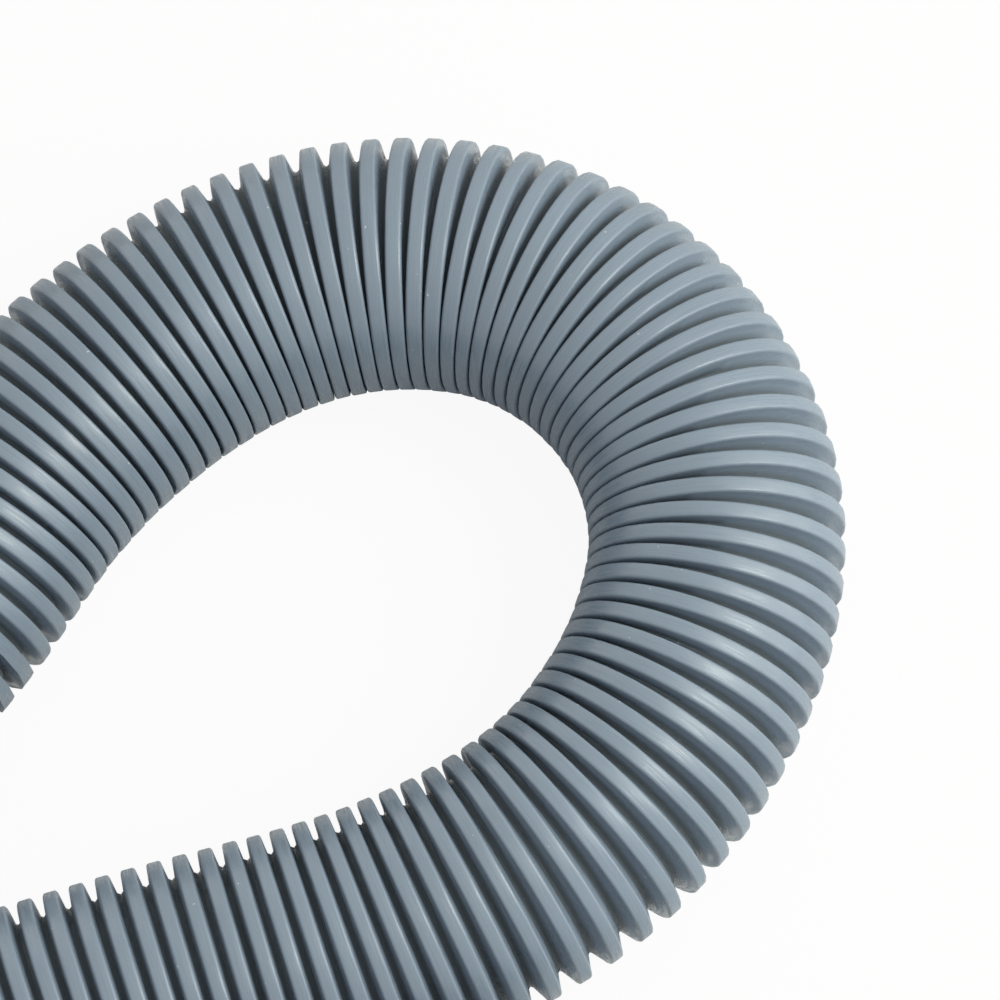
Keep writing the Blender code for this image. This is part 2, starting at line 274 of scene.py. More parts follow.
class DRAINHOSE_PG_settings(bpy.types.PropertyGroup):
    """Sizes and colours of the hose, its fittings and its light."""

    rib_pitch: FloatProperty(
        name="Rib Pitch", description="Distance between two ribs where the hose is straight",
        default=0.00255, min=0.0015, max=0.006, unit="LENGTH",
    )
    crest_width: FloatProperty(
        name="Crest Width", description="Width of a rib's crest, which stays the same through a bend",
        default=0.00170, min=0.0005, max=0.003, unit="LENGTH",
    )
    hose_color: FloatVectorProperty(
        name="Hose Colour", description="Colour of the hose's plastic",
        default=(0.224, 0.282, 0.348), min=0.0, max=1.0, subtype="COLOR",
    )
    cuff_color: FloatVectorProperty(
        name="Cuff Colour", description="Colour of the cuffs' soft plastic",
        default=(0.150, 0.190, 0.222), min=0.0, max=1.0, subtype="COLOR",
    )
    tie_color: FloatVectorProperty(
        name="Tie Colour", description="Colour of the cable ties' nylon",
        default=(0.780, 0.775, 0.735), min=0.0, max=1.0, subtype="COLOR",
    )
    floor_color: FloatVectorProperty(
        name="Floor Colour", description="Colour of the plain floor",
        default=(0.80, 0.80, 0.80), min=0.0, max=1.0, subtype="COLOR",
    )
    key_power: FloatProperty(
        name="Key Power", description="Power of the small soft box over the hose", default=1.02, min=0.0,
        unit="POWER",
    )
    wide_power: FloatProperty(
        name="Wide Power", description="Power of the wide soft box over the hose", default=1.2, min=0.0,
        unit="POWER",
    )
    side_power: FloatProperty(
        name="Side Power", description="Power of the wide soft box at the right", default=0.80, min=0.0,
        unit="POWER",
    )
    back_power: FloatProperty(
        name="Back Power", description="Power of the wide soft box at the back", default=1.0, min=0.0,
        unit="POWER",
    )
    fill: FloatProperty(
        name="Fill", description="Strength of the even light from all round", default=0.36, min=0.0,
        subtype="FACTOR",
    )


def natural_spline(points, count):
    """The natural cubic spline through these points over their chord lengths, read at count even steps: the
    second derivatives m solve h0*m0 + 2*(h0 + h1)*m1 + h1*m2 = 6 * (change of slope) at each inner point."""
    points = np.asarray(points, float)
    span = np.linalg.norm(np.diff(points, axis=0), axis=1)
    slope = np.diff(points, axis=0) / span[:, None]
    rows = np.eye(len(points))
    inner = np.arange(1, len(points) - 1)
    rows[inner, inner - 1] = span[:-1]
    rows[inner, inner] = 2 * (span[:-1] + span[1:])
    rows[inner, inner + 1] = span[1:]
    jump = np.zeros_like(points)
    jump[1:-1] = 6 * np.diff(slope, axis=0)
    bend = np.linalg.solve(rows, jump)
    start = np.concatenate([[0.0], np.cumsum(span)])
    place = np.linspace(0.0, start[-1], count)
    i = np.clip(np.searchsorted(start, place, side="right") - 1, 0, len(span) - 1)
    near, width = (place - start[i])[:, None], span[i][:, None]
    far = width - near
    curve = (bend[i] * far**3 + bend[i + 1] * near**3) / (6 * width)
    curve += (points[i] / width - bend[i] * width / 6) * far
    return curve + (points[i + 1] / width - bend[i + 1] * width / 6) * near


def on_circle(centre, radius, angles):
    """The points of a circle in plan at these angles, as rows."""
    angles = np.asarray(angles, float)
    return centre + radius * np.column_stack([np.cos(angles), np.sin(angles)])


def route_points():
    """Every point that the hose passes through in plan, from the machine end to the drain end."""
    machine = np.array(MACHINE_END_STEPS) + (COIL_CENTRE[0] - OUTER_RADIUS, COIL_CENTRE[1])
    outer = on_circle(COIL_CENTRE, OUTER_RADIUS, np.radians(OUTER_STRAND_ANGLES))
    offset = INNER_BEND_CENTRE - COIL_CENTRE
    leave = 2 * math.pi + math.atan2(offset[1], offset[0])
    turn = on_circle(COIL_CENTRE, COIL_RADIUS, np.linspace(math.pi / 2, leave, COIL_POINTS))
    inner_angles = np.linspace(leave, 2.5 * math.pi, INNER_POINTS)
    bend = on_circle(INNER_BEND_CENTRE, INNER_BEND_RADIUS, inner_angles)
    return np.vstack([machine, outer, APPROACH, BIGHT, RUN_IN, turn, bend[1:], [DRAIN_END]])


def centre_height(plan):
    """How high the hose's centre is at these places in plan: its radius, and by a prop that prop's height
    times share^2 * (3 - 2 * share), with share falling from 1 at LIFT_FLAT from it to 0 at LIFT_REACH."""
    props = [(box[:, :2].mean(axis=0), TIE_LIFT) for box in TIES.values()]
    props.append((plan[0], CUFF_COLLAR_RADIUS - HOSE_RADIUS))
    lift = np.zeros(len(plan))
    for prop, height in props:
        share = (LIFT_REACH - np.linalg.norm(plan - prop, axis=1)) / (LIFT_REACH - LIFT_FLAT)
        share = np.clip(share, 0.0, 1.0)
        lift = np.maximum(lift, height * share**2 * (3 - 2 * share))
    return HOSE_RADIUS + lift


def read_at(distance, table, wanted):
    """The rows of a table over distance, read at the wanted distances and kept in their shape."""
    columns = [np.interp(wanted, distance, table[:, i]) for i in range(table.shape[1])]
    return np.stack(columns, axis=-1)


class HoseLine:
    """The hose's centre line in even steps: its places, its level side and upright directions, and how much
    it bends to its side. It runs straight on into both cuffs."""

    def __init__(self):
        plan = natural_spline(route_points(), LINE_SAMPLES)
        walked = np.concatenate([[0.0], np.cumsum(np.linalg.norm(np.diff(plan, axis=0), axis=1))])
        self.length = walked[-1]
        reached = np.clip(np.arange(-HOSE_IN_CUFF, self.length + HOSE_IN_CUFF, LINE_STEP), 0, self.length)
        self.distance = -HOSE_IN_CUFF + LINE_STEP * np.arange(len(reached))
        plan = read_at(walked, plan, reached)
        heading = np.gradient(plan, axis=0)
        inside = np.flatnonzero((self.distance > LINE_STEP) & (self.distance < self.length - LINE_STEP))
        heading[: inside[0]] = heading[inside[0]]
        heading[inside[-1] :] = heading[inside[-1]]
        heading /= np.linalg.norm(heading, axis=1)[:, None]
        # Beyond both ends the plan repeats its end point, which this moves on along the heading
        plan += heading * (self.distance - reached)[:, None]
        self.place = np.column_stack([plan, centre_height(plan)])
        ahead = np.gradient(self.place, axis=0)
        ahead /= np.linalg.norm(ahead, axis=1)[:, None]
        self.side = np.column_stack([-heading[:, 1], heading[:, 0], np.zeros(len(heading))])
        self.top = np.cross(ahead, self.side)
        turned = np.unwrap(np.arctan2(heading[:, 1], heading[:, 0]))
        self.bend = np.gradient(turned, LINE_STEP)[:, None]

    def at(self, table, wanted):
        """The rows of one of the line's tables at these distances along it."""
        return read_at(self.distance, table, wanted)

    def nearest(self, plan):
        """The distance along the line at which it passes closest to this place in plan."""
        gaps = np.linalg.norm(self.place[:, :2] - plan, axis=1)
        return self.distance[np.argmin(gaps)]


def groove_places(line, pitch):
    """The distances at which the grooves lie: there the running sum of step / pitch is a whole number."""
    first = line.nearest(BIGHT[0])
    stations, spacing = np.array(SEEN_PITCH).T
    here = np.interp(line.distance - first, stations, spacing, left=pitch, right=pitch)
    count = np.cumsum(LINE_STEP / here)
    count -= np.interp(first + FIRST_SEEN_GROOVE, line.distance, count)
    whole = np.arange(math.ceil(count[0]), math.floor(count[-1]) + 1)
    grooves = np.interp(whole, count, line.distance)
    return grooves[(grooves > -RIBS_INTO_CUFF) & (grooves < line.length + RIBS_INTO_CUFF)]


def by_station(line, stations, distance):
    """What a list of stations past the bight's first point says at these distances, in straight steps."""
    place, value = np.array(stations).T
    return np.interp(distance - line.nearest(BIGHT[0]), place, value)


def ring_angles(sides):
    """The angles of a ring's points, from the lowest one on."""
    return -math.pi / 2 + 2 * math.pi * np.arange(sides) / sides


def both_flanks(flank):
    """A rib's section: its flank before the crest, at side -1, and the mirror image after it, at side 1."""
    return [(-1, *row) for row in flank] + [(1, *row) for row in reversed(flank)]


def rib_rows(line, grooves, section, sides, crest_width):
    """The rows of points over the ribs between these grooves, and each point's place on the straight hose.

    A point of the section lies at a distance a before or after its rib's middle, at angle t round the hose.
    The spacing there is the pitch times 1 - bend * radius * cos(t), so the crest keeps its width through a
    bend, and the flanks lean to take up what is left. A rib that stands askew puts the point back by
    radius * cos(t) * tan(lean). The distance along the line is then the middle plus what these two give
    over 1 - bend * radius * cos(t). Each rib is a little taller or wider than the next, by its own chance.
    Low on the inner side of a tight bend, crests widen until they touch, and the groove between them is only
    TOUCH_DEPTH deep."""
    side, share, root, inset, depth = (column[None, :, None] for column in np.array(section, float).T)
    middle = ((grooves[1:] + grooves[:-1]) / 2)[:, None, None]
    half = ((grooves[1:] - grooves[:-1]) / 2)[:, None, None]
    angle = ring_angles(sides)[None, None, :]
    bend = line.at(line.bend, middle)[..., 0]
    low = np.cos(angle) * np.sign(bend) * math.cos(TOUCH_BELOW) - np.sin(angle) * math.sin(TOUCH_BELOW)
    touch = np.interp(low, TOUCH_COSINES, (0.0, 1.0)) * np.interp(np.abs(bend), TOUCH_BENDS, (0.0, 1.0))
    chance = np.random.default_rng(RIB_SEED).uniform(-1, 1, (2, len(middle), 1, 1))
    depth = depth - touch * np.maximum(depth - TOUCH_DEPTH, 0) + RIB_HEIGHT_DIFFERENCE * (1 + chance[0])
    radius = HOSE_RADIUS - depth
    stretch = 1 - bend * radius * np.cos(angle)
    space = half * stretch
    room = half * (1 - bend * HOSE_RADIUS * np.cos(angle))
    width = crest_width * by_station(line, SEEN_CREST, middle) + RIB_WIDTH_DIFFERENCE * chance[1]
    edge = np.minimum(width / 2, room - LEAST_GROOVE / 2)
    edge = edge + touch * (room - TOUCH_GAP / 2 - edge)
    foot = space - root * np.minimum(ROOT_HALF_WIDTH, MOST_ROOT_SHARE * space)
    askew = radius * np.cos(angle) * np.tan(np.radians(by_station(line, SEEN_LEAN, middle)))
    from_middle = side * (edge * (1 - share) + foot * share - inset)
    along = middle + (from_middle - askew) / stretch
    around, out = np.broadcast_to(angle, along.shape), np.broadcast_to(radius, along.shape)
    return ring_points(line, along, around, out, middle + from_middle)


def ring_points(line, along, angle, radius, pulled):
    """Points of the hose, as rows of sides: the place on the centre line plus
    radius * (cos(angle) * side + sin(angle) * top). The same points follow as they lie on the hose pulled
    straight, at the pulled distance."""
    level, upright = radius * np.cos(angle), radius * np.sin(angle)
    points = line.at(line.place, along) + level[..., None] * line.at(line.side, along)
    points += upright[..., None] * line.at(line.top, along)
    straight = np.stack([level, upright, pulled], axis=-1)
    sides = along.shape[-1]
    return points.reshape(-1, sides, 3), straight.reshape(-1, sides, 3)


def round_rows(line, distances, radius, sides):
    """Plain rings of one radius at these distances along the line."""
    along = np.repeat(np.asarray(distances, float)[:, None], sides, axis=1)
    angle = np.broadcast_to(ring_angles(sides), along.shape)
    return ring_points(line, along, angle, np.full(along.shape, radius), along)


def strip(first, first_sides, second, second_sides):
    """The faces between two rings of vertices. Rings of the same number of sides are joined by quads, and a
    ring of half as many by five-cornered faces."""
    i = np.arange(min(first_sides, second_sides))
    after = (i + 1) % len(i)
    if first_sides == second_sides:
        return np.column_stack([first + i, first + after, second + after, second + i])
    if first_sides < second_sides:
        fine = (2 * i + 2) % second_sides
        return np.column_stack([first + i, first + after, second + fine, second + 2 * i + 1, second + 2 * i])
    fine = (2 * i + 2) % first_sides
    return np.column_stack([first + 2 * i, first + 2 * i + 1, first + fine, second + after, second + i])


def new_mesh(name, points, faces, material):
    """A smooth mesh of these points and of these arrays of faces, each array of one number of corners."""
    corners = np.concatenate([group.ravel() for group in faces])
    sizes = np.concatenate([np.full(len(group), group.shape[1]) for group in faces])
    mesh = bpy.data.meshes.new(name)
    mesh.vertices.add(len(points))
    mesh.vertices.foreach_set("co", np.ascontiguousarray(points, np.float32).ravel())
    mesh.loops.add(len(corners))
    mesh.loops.foreach_set("vertex_index", corners.astype(np.int32))
    mesh.polygons.add(len(sizes))
    starts = np.concatenate([[0], np.cumsum(sizes)[:-1]])
    mesh.polygons.foreach_set("loop_start", starts.astype(np.int32))
    mesh.polygons.foreach_set("use_smooth", np.ones(len(sizes), bool))
    mesh.update(calc_edges=True)
    mesh.materials.append(material)
    return mesh


def add_vectors(mesh, name, vectors):
    """Keeps one vector for each vertex, for the mesh's material to read."""
    attribute = mesh.attributes.new(name, "FLOAT_VECTOR", "POINT")
    attribute.data.foreach_set("vector", np.ascontiguousarray(vectors, np.float32).ravel())


def ring_faces(count, sides, closed):
    """The quads between rings of points that follow each other, and from the last back to the first where
    they close."""
    i, j = np.mgrid[0 : count if closed else count - 1, 0:sides]
    after, beside = (i + 1) % count * sides, (j + 1) % sides
    return np.stack([i * sides + j, i * sides + beside, after + beside, after + j], axis=-1).reshape(-1, 4)


def rounded_corners(corners):
    """A closed outline with its corners rounded. From the point a rounding's size before a corner to the one
    after it, it is (1 - t)^2 * before + 2 * t * (1 - t) * corner + t^2 * after, and one more point on each
    side keeps what lies between two corners flat."""
    corners = np.array(corners, float)
    place, size = corners[:, :2], corners[:, 2]

    def towards(other, share):
        way = other - place
        reach = np.minimum(size / np.linalg.norm(way, axis=1), MOST_ROUNDED_SHARE)
        return place + way * (share * reach)[:, None]

    last, following = np.roll(place, 1, axis=0), np.roll(place, -1, axis=0)
    t = np.linspace(0.0, 1.0, CORNER_POINTS)[None, :, None]
    arc = (1 - t) ** 2 * towards(last, 1.0)[:, None] + 2 * t * (1 - t) * place[:, None]
    arc += t**2 * towards(following, 1.0)[:, None]
    before, after = towards(last, FLAT_REACH)[:, None], towards(following, FLAT_REACH)[:, None]
    return np.concatenate([before, arc, after], axis=1).reshape(-1, 2)


def join_shells(shells):
    """Several closed shells as one list of points, and their faces grouped by their number of corners."""
    groups, start = {}, 0
    for points, faces in shells:
        for group in faces:
            groups.setdefault(group.shape[1], []).append(group + start)
        start += len(points)
    return np.vstack([points for points, _ in shells]), [np.vstack(group) for group in groups.values()]


def new_piece(name, mesh, replaced):
    """An object at the origin that rides on the part's body and stands for a node of the frame."""
    piece = bpy.data.objects.new(name, mesh)
    bpy.context.scene.collection.objects.link(piece)
    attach(piece, BODY)
    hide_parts(replaced)
    return piece


def node(tree, kind, inputs=(), **settings):
    """A shader node of this kind. Each input is given by its name or number, with a value or a socket."""
    made = tree.nodes.new(kind)
    for name, value in settings.items():
        setattr(made, name, value)
    for key, value in dict(inputs).items():
        if isinstance(value, bpy.types.NodeSocket):
            tree.links.new(value, made.inputs[key])
        else:
            made.inputs[key].default_value = value
    return made


def new_material(name):
    """A material with nodes, its tree and its Principled shader."""
    material = bpy.data.materials.new(name)
    material.use_nodes = True
    tree = material.node_tree
    return material, tree, tree.nodes["Principled BSDF"]


def noise(tree, vector, scale, detail=3.0, roughness=0.55):
    """Noise from 0 to 1 over a vector in metres, at a scale in cycles a metre."""
    inputs = {"Vector": vector, "Scale": scale, "Detail": detail, "Roughness": roughness}
    return node(tree, "ShaderNodeTexNoise", inputs).outputs["Fac"]


def mapped(tree, vector, scale):
    """A vector with its three axes scaled."""
    return node(tree, "ShaderNodeMapping", {"Vector": vector, "Scale": scale}).outputs[0]


def ranged(tree, value, low, high, to_low, to_high):
    """A value from low to high brought to a new range and kept inside it."""
    inputs = {"Value": value, "From Min": low, "From Max": high, "To Min": to_low, "To Max": to_high}
    return node(tree, "ShaderNodeMapRange", inputs).outputs[0]


def spread(tree, noisy, to_low, to_high):
    """Noise brought from its usual spread to a new range."""
    return ranged(tree, noisy, *NOISE_SPREAD, to_low, to_high)


def math_node(tree, operation, first, second):
    """What an operation makes of two numbers."""
    return node(tree, "ShaderNodeMath", {0: first, 1: second}, operation=operation).outputs[0]


def shaded(tree, color, shade):
    """A colour times a number, which makes it lighter or darker."""
    return node(tree, "ShaderNodeVectorMath", {0: color, "Scale": shade}, operation="SCALE").outputs[0]


def mixed(tree, share, first, second):
    """A colour that goes from a first to a second with a share. A Mix node's colours are its inputs 6 and 7
    and its output 2."""
    inputs = {"Factor": share, 6: first, 7: second}
    return node(tree, "ShaderNodeMix", inputs, data_type="RGBA").outputs[2]


def hose_plastic(color):
    """Satin blue-grey plastic, with painted shade that darkens its grooves, fine streaks round it from the
    mould, a faint cloudy colour and a few specks of dust. It reads each point's place on the hose pulled
    straight."""
    material, tree, shader = new_material("hose_plastic")
    straight = node(tree, "ShaderNodeAttribute", attribute_name="straight").outputs["Vector"]
    streaks = noise(tree, mapped(tree, straight, STREAK_STRETCH), scale=4200.0, detail=2.0, roughness=0.6)
    clouds = noise(tree, straight, scale=70.0)
    grain = noise(tree, straight, scale=9000.0, detail=2.0)
    dust = noise(tree, straight, scale=2200.0, detail=0.0)
    specks = ranged(tree, dust, *SPECK_NOISE, 0.0, SPECK_COVER)

    flat = node(tree, "ShaderNodeVectorMath", {0: straight, 1: (1.0, 1.0, 0.0)}, operation="MULTIPLY")
    radius = node(tree, "ShaderNodeVectorMath", {0: flat.outputs[0]}, operation="LENGTH").outputs["Value"]
    # Painted shade: the colour darkens from the crest's depth down to the groove's, where the grooves lie in
    # shade
    low, high = HOSE_RADIUS - GROOVE_SHADE_DEPTH, HOSE_RADIUS - CREST_SHADE_DEPTH
    groove_shade_color = tuple(channel * share for channel, share in zip(color, GROOVE_SHADE_TINT))
    tone_with_groove_shade = mixed(tree, ranged(tree, radius, low, high, 0.0, 1.0), (*groove_shade_color, 1.0), (*color, 1.0))

    cloudy = spread(tree, clouds, 0.95, 1.05)
    streaky = spread(tree, streaks, 0.992, 1.008)
    base = shaded(tree, tone_with_groove_shade, math_node(tree, "MULTIPLY", cloudy, streaky))
    tree.links.new(mixed(tree, specks, base, DUST_COLOR), shader.inputs["Base Color"])

    dull = ranged(tree, streaks, 0.38, 0.62, 0.16, 0.44)
    roughness = math_node(tree, "ADD", dull, spread(tree, clouds, -0.02, 0.03))
    tree.links.new(roughness, shader.inputs["Roughness"])
    relief = math_node(tree, "ADD", streaks, math_node(tree, "MULTIPLY", grain, 0.25))
    bump = node(tree, "ShaderNodeBump", {"Height": relief, "Strength": 0.4, "Distance": 0.00005})
    tree.links.new(bump.outputs[0], shader.inputs["Normal"])
    return material


def cuff_plastic(color):
    """Soft dull plastic with a fine moulded grain and a faint cloudy colour."""
    material, tree, shader = new_material("cuff_plastic")
    place = node(tree, "ShaderNodeTexCoord").outputs["Object"]
    clouds = noise(tree, place, scale=90.0)
    grain = noise(tree, place, scale=3800.0)
    base = shaded(tree, tuple(color), spread(tree, clouds, 0.92, 1.08))
    tree.links.new(base, shader.inputs["Base Color"])
    tree.links.new(spread(tree, grain, 0.50, 0.64), shader.inputs["Roughness"])
    bump = node(tree, "ShaderNodeBump", {"Height": grain, "Strength": 0.35, "Distance": 0.00006})
    tree.links.new(bump.outputs[0], shader.inputs["Normal"])
    return material


def tie_nylon(color):
    """Milky nylon that lets a little light in, with a faint flow pattern from its mould."""
    material, tree, shader = new_material("tie_nylon")
    place = node(tree, "ShaderNodeTexCoord").outputs["Object"]
    flow = noise(tree, mapped(tree, place, (1.0, 1.0, 2.5)), scale=260.0)
    base = shaded(tree, tuple(color), spread(tree, flow, 0.94, 1.04))
    tree.links.new(base, shader.inputs["Base Color"])
    tree.links.new(spread(tree, flow, 0.30, 0.42), shader.inputs["Roughness"])
    shader.inputs["Subsurface Weight"].default_value = 0.25
    shader.inputs["Subsurface Radius"].default_value = (1.0, 1.0, 1.0)
    shader.inputs["Subsurface Scale"].default_value = 0.0008
    bump = node(tree, "ShaderNodeBump", {"Height": flow, "Strength": 0.2, "Distance": 0.0001})
    tree.links.new(bump.outputs[0], shader.inputs["Normal"])
    return material


def hose_bands(line, grooves, crest_width):
    """The bands of rings that make up the hose, in order round its wall: a plain sleeve in the first cuff,
    plain ribs, the ribs that the photograph shows, plain ribs, a sleeve in the other cuff, and the bore back
    to the start."""
    first = line.nearest(BIGHT[0])
    start, end = np.searchsorted(grooves, (first + SEEN_REACH[0], first + SEEN_REACH[1]))
    near, far = line.distance[0], line.distance[-1]
    bore = np.linspace(far, near, math.ceil((far - near) / BORE_STEP))
    plain, seen = both_flanks(PLAIN_FLANK), [(-1, *SEEN_ROOT), *both_flanks(SEEN_FLANK)]
    return [
        round_rows(line, [near, grooves[0] - SLEEVE_GAP], SLEEVE_RADIUS, PLAIN_SIDES),
        rib_rows(line, grooves[: start + 1], plain, PLAIN_SIDES, crest_width),
        rib_rows(line, grooves[start : end + 1], seen, SEEN_SIDES, crest_width),
        rib_rows(line, grooves[end:], plain, PLAIN_SIDES, crest_width),
        round_rows(line, [grooves[-1] + SLEEVE_GAP, far], SLEEVE_RADIUS, PLAIN_SIDES),
        round_rows(line, bore, BORE_RADIUS, PLAIN_SIDES),
    ]


def band_faces(bands):
    """The faces of rings that follow each other through all the bands and close on the first one."""
    sides = np.concatenate([np.full(len(points), points.shape[1]) for points, _ in bands])
    rings = np.concatenate([[0], np.cumsum(sides)[:-1]])
    groups = {4: [], 5: []}
    for i in range(len(rings)):
        after = (i + 1) % len(rings)
        faces = strip(rings[i], sides[i], rings[after], sides[after])
        groups[faces.shape[1]].append(faces)
    return [np.vstack(faces) for faces in groups.values()]


class DRAINHOSE_OT_hose(bpy.types.Operator):
    """Makes the corrugated hose along its route, as one closed wall with its bore."""

    bl_idname = "drain_hose.hose"
    bl_label = "Hose"

    def execute(self, context):
        settings = context.scene.drain_hose
        line = HoseLine()
        grooves = groove_places(line, settings.rib_pitch)
        bands = hose_bands(line, grooves, settings.crest_width)
        faces = band_faces(bands)
        triangles = sum(len(group) * (group.shape[1] - 2) for group in faces)
        if triangles > MOST_TRIANGLES:
            raise ValueError(f"the hose has {triangles} triangles, over {MOST_TRIANGLES}")
        points = np.vstack([band.reshape(-1, 3) for band, _ in bands])
        straight = np.vstack([band.reshape(-1, 3) for _, band in bands])
        mesh = new_mesh("hose_ribbed", points, faces, hose_plastic(settings.hose_color))
        mesh.set_sharp_from_angle(angle=SHARPEST_SHADED)
        add_vectors(mesh, "straight", straight)
        hose = new_piece("hose_ribbed", mesh, "hose")
        return {"FINISHED"}


def cuff_shell(socket_radius, back, heading):
    """A cuff's surface: its closed section turned about the line from its back along its heading, as
    back + along * heading + radius * (cos(angle) * side + sin(angle) * up). Its outside stands up a little
    along the two lines where the halves of its mould met."""
    socket = [(along, socket_radius + radius, size) for along, radius, size in CUFF_SOCKET]
    section = CUFF_OUTSIDE + socket + CUFF_SEAT
    along, radius = rounded_corners(section).T[:, :, None]
    seams = np.array([[0.0], [math.pi]])
    even = 2 * math.pi * np.arange(CUFF_SIDES) / CUFF_SIDES
    angle = np.sort(np.concatenate([even, (seams + SEAM_ANGLES).ravel() % (2 * math.pi)]))[None, :]
    off_seam = np.abs((angle + math.pi / 2) % math.pi - math.pi / 2)
    between = (along > SEAM_END_GAP) & (along < CUFF_LENGTH - SEAM_END_GAP)
    outer = between & (radius > CUFF_COLLAR_RADIUS - OUTSIDE_DEPTH)
    outer &= (np.arange(len(radius)) * len(section) < len(radius) * len(CUFF_OUTSIDE))[:, None]
    raised = np.clip(SEAM_FULL - SEAM_FALL * np.degrees(off_seam), 0.0, 1.0)
    radius = radius + SEAM_HEIGHT * outer * raised
    up = np.array((0.0, 0.0, 1.0))
    side = np.cross(up, heading)
    turned = np.cos(angle)[..., None] * side + np.sin(angle)[..., None] * up
    points = back + along[..., None] * heading + radius[..., None] * turned
    return points.reshape(-1, 3), [ring_faces(*points.shape[:2], closed=True)]


class DRAINHOSE_OT_cuffs(bpy.types.Operator):
    """Makes the two turned cuffs, with their grip rings, sockets and sealing ribs."""

    bl_idname = "drain_hose.cuffs"
    bl_label = "Cuffs"

    def execute(self, context):
        plastic = cuff_plastic(context.scene.drain_hose.cuff_color)
        for node_name, (box, facing, socket_radius) in CUFFS.items():
            heading = np.array(facing)
            back = box.mean(axis=0) - heading * CUFF_LENGTH / 2
            points, faces = cuff_shell(socket_radius, back, heading)
            name = node_name.replace("end_cuff", "cuff_turned")
            mesh = new_mesh(name, points, faces, plastic)
            mesh.set_sharp_from_angle(angle=SHARPEST_TURNED)
            new_piece(name, mesh, node_name)
        return {"FINISHED"}


def strap_shell():
    """A tie's strap about the middle between its two strands, as across, along the strands and up. A point
    of its section, a distance out from a strand's middle, goes round the two strands on a half circle about
    each: across = the strand's place + out * cos(angle), up = out * sin(angle)."""
    out, along = rounded_corners(STRAP_SECTION).T[:, None, :]
    half_turn = np.linspace(-math.pi / 2, math.pi / 2, STRAP_ARC_POINTS)
    angle = np.concatenate([half_turn, half_turn + math.pi])
    strand = STRAND_SPACING / 2 * np.repeat([1.0, -1.0], STRAP_ARC_POINTS)
    angle, strand = angle[:, None], strand[:, None]
    across = strand + out * np.cos(angle)
    points = np.stack([across, np.broadcast_to(along, across.shape), out * np.sin(angle)], axis=-1)
    return points.reshape(-1, 3), [ring_faces(*points.shape[:2], closed=True)]


def block_shell(rings, offset):
    """A closed block of rounded rectangles one over the other, with a flat cap at each end. A point at an
    angle lies at half size * sign(c) * |c|^(2 / squareness), with c the angle's cosine across the strands
    and its sine along them."""
    half_across, half_along, height = (column[:, None] for column in np.array(rings).T)
    angle = 2 * math.pi * (np.arange(RING_POINTS) + 0.5)[None, :] / RING_POINTS
    c, s = np.cos(angle), np.sin(angle)
    power = 2 / RING_SQUARENESS
    across = offset + half_across * np.sign(c) * np.abs(c) ** power
    along = half_along * np.sign(s) * np.abs(s) ** power
    points = np.stack([across, along, np.broadcast_to(height, across.shape)], axis=-1)
    ring = np.arange(RING_POINTS)
    caps = np.stack([ring[::-1], ring + RING_POINTS * (len(rings) - 1)])
    return points.reshape(-1, 3), [ring_faces(len(rings), RING_POINTS, closed=False), caps]


class DRAINHOSE_OT_ties(bpy.types.Operator):
    """Makes the two cable ties: strap, head with its slot and pawl, and cut tail."""

    bl_idname = "drain_hose.ties"
    bl_label = "Ties"

    def execute(self, context):
        nylon = tie_nylon(context.scene.drain_hose.tie_color)
        shells = [
            strap_shell(), block_shell(HEAD_RINGS, 0.0), block_shell(TAIL_RINGS, TAIL_OFFSET),
            block_shell(PAWL_RINGS, PAWL_OFFSET),
        ]
        points, faces = join_shells(shells)
        for node_name, box in TIES.items():
            turn = TIE_TURNS[node_name]
            middle = np.array((*box[:, :2].mean(axis=0), HOSE_RADIUS + TIE_LIFT))
            c, s = math.cos(turn), math.sin(turn)
            axes = np.array([(c, s, 0.0), (-s, c, 0.0), (0.0, 0.0, 1.0)])
            name = node_name.replace("coil_tie", "tie_moulded")
            mesh = new_mesh(name, middle + points @ axes, faces, nylon)
            mesh.set_sharp_from_angle(angle=SHARPEST_TURNED)
            new_piece(name, mesh, node_name)
        return {"FINISHED"}


def softbox(name, aim, direction, distance, size, power):
    """A square area lamp that faces the point that it is aimed at from this direction."""
    lamp = bpy.data.lights.new(name, "AREA")
    lamp.shape = "SQUARE"
    lamp.size = size
    lamp.energy = power
    lamp.color = LAMP_COLOR
    holder = bpy.data.objects.new(name, lamp)
    direction = Vector(direction).normalized()
    holder.location = aim + direction * distance
    holder.rotation_euler = direction.to_track_quat("Z", "Y").to_euler()
    bpy.context.scene.collection.objects.link(holder)


def add_camera(scene):
    """The camera of the photograph, from its forward direction and the floor direction along its width."""
    camera = bpy.data.cameras.new("camera")
    camera.sensor_width = SENSOR_WIDTH
    camera.lens = LENS
    camera.clip_start = 0.01
    holder = bpy.data.objects.new("camera", camera)
    width = Vector((math.cos(PICTURE_TURN), math.sin(PICTURE_TURN), 0.0))
    right = (width - width.dot(CAMERA_FORWARD) * CAMERA_FORWARD).normalized()
    up = right.cross(CAMERA_FORWARD)
    axes = Matrix((right, up, -CAMERA_FORWARD)).transposed().to_4x4()
    holder.matrix_world = Matrix.Translation(CAMERA_TARGET - CAMERA_FORWARD * CAMERA_DISTANCE) @ axes
    scene.collection.objects.link(holder)
    scene.camera = holder


def white_to_camera(tree, plain, strength):
    """The plain value for the light that falls on the object, and the given strength for what the camera and
    mirror-like and clear surfaces see."""
    path = node(tree, "ShaderNodeLightPath").outputs
    seen = math_node(tree, "MAXIMUM", path["Is Camera Ray"], path["Is Glossy Ray"])
    seen = math_node(tree, "MAXIMUM", seen, path["Is Transmission Ray"])
    return ranged(tree, seen, 0.0, 1.0, plain, strength)


